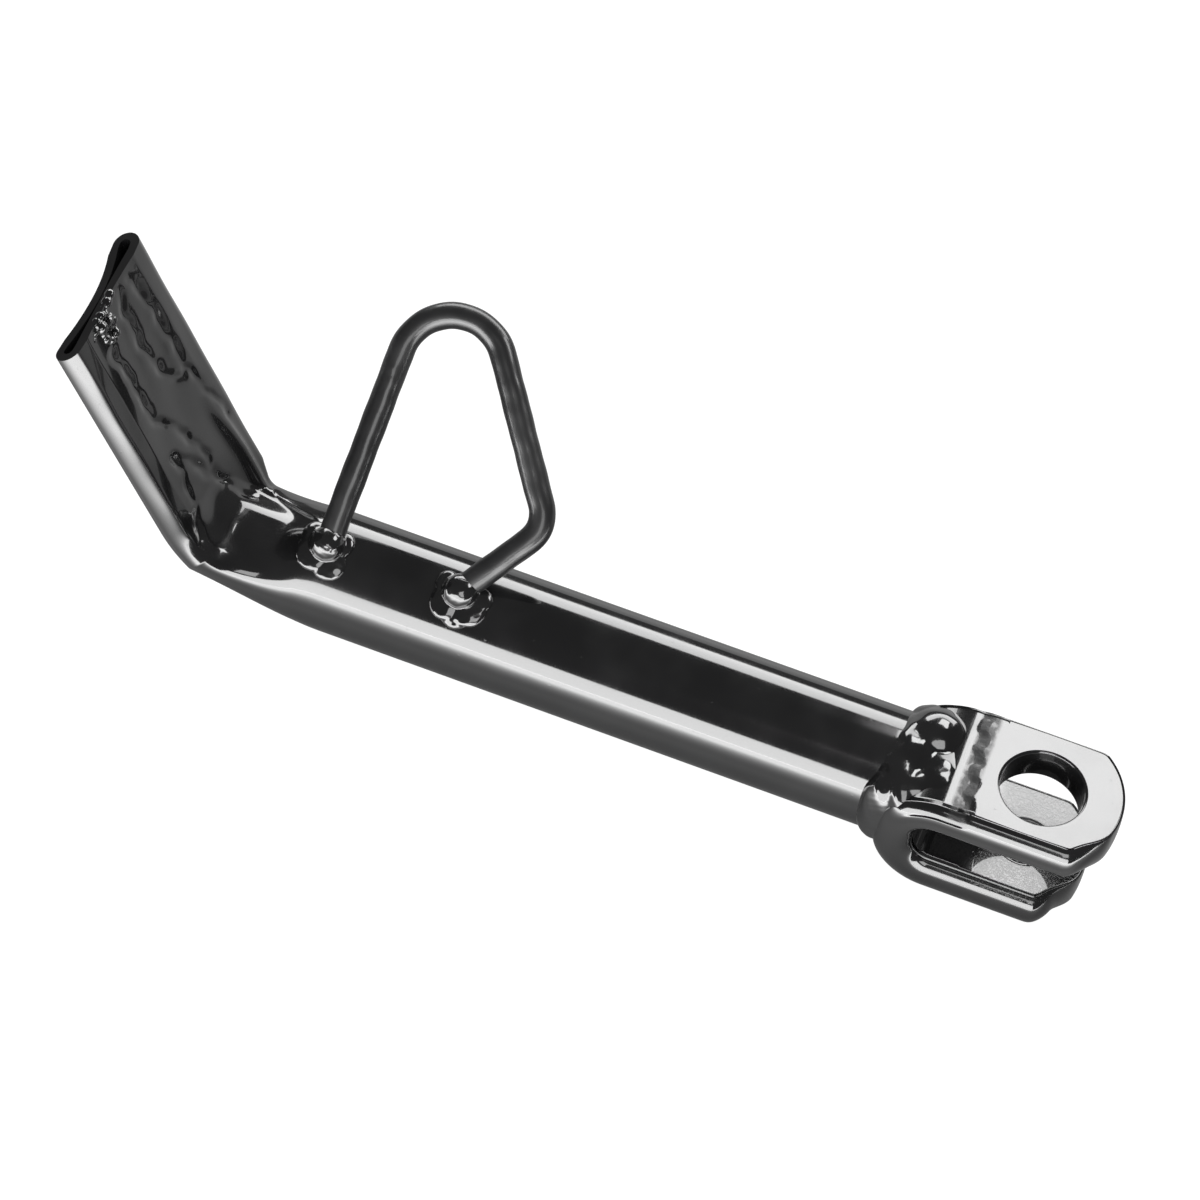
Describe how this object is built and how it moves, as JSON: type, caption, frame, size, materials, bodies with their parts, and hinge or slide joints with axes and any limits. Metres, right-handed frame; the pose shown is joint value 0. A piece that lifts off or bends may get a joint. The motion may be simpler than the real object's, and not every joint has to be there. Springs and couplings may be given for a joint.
{
  "type": "motorcycle side stand",
  "caption": "Welded side stand: a tubular leg with a crushed, angled foot, a forked pivot end and a bent-rod kick loop.",
  "frame": {"origin": "centre of the pivot bore, in the middle of the upper ear's thickness", "axes": "+Z along the pivot axis, out of the ear with the large bore; +X along the leg from the foot to the pivot; +Y square to both, towards the side that the kick loop leans to"},
  "size_m": [0.1953, 0.0497, 0.0684],
  "materials": {
    "black_paint": "gloss",
    "weld_paint": "gloss"
  },
  "bodies": {
    "root": {"leg_tube": "black_paint", "clevis": "black_paint", "kick_loop": "black_paint", "clevis_weld": "weld_paint", "loop_weld_rear": "weld_paint", "loop_weld_front": "weld_paint", "foot_tack_weld": "weld_paint"}
  },
  "joints": []
}
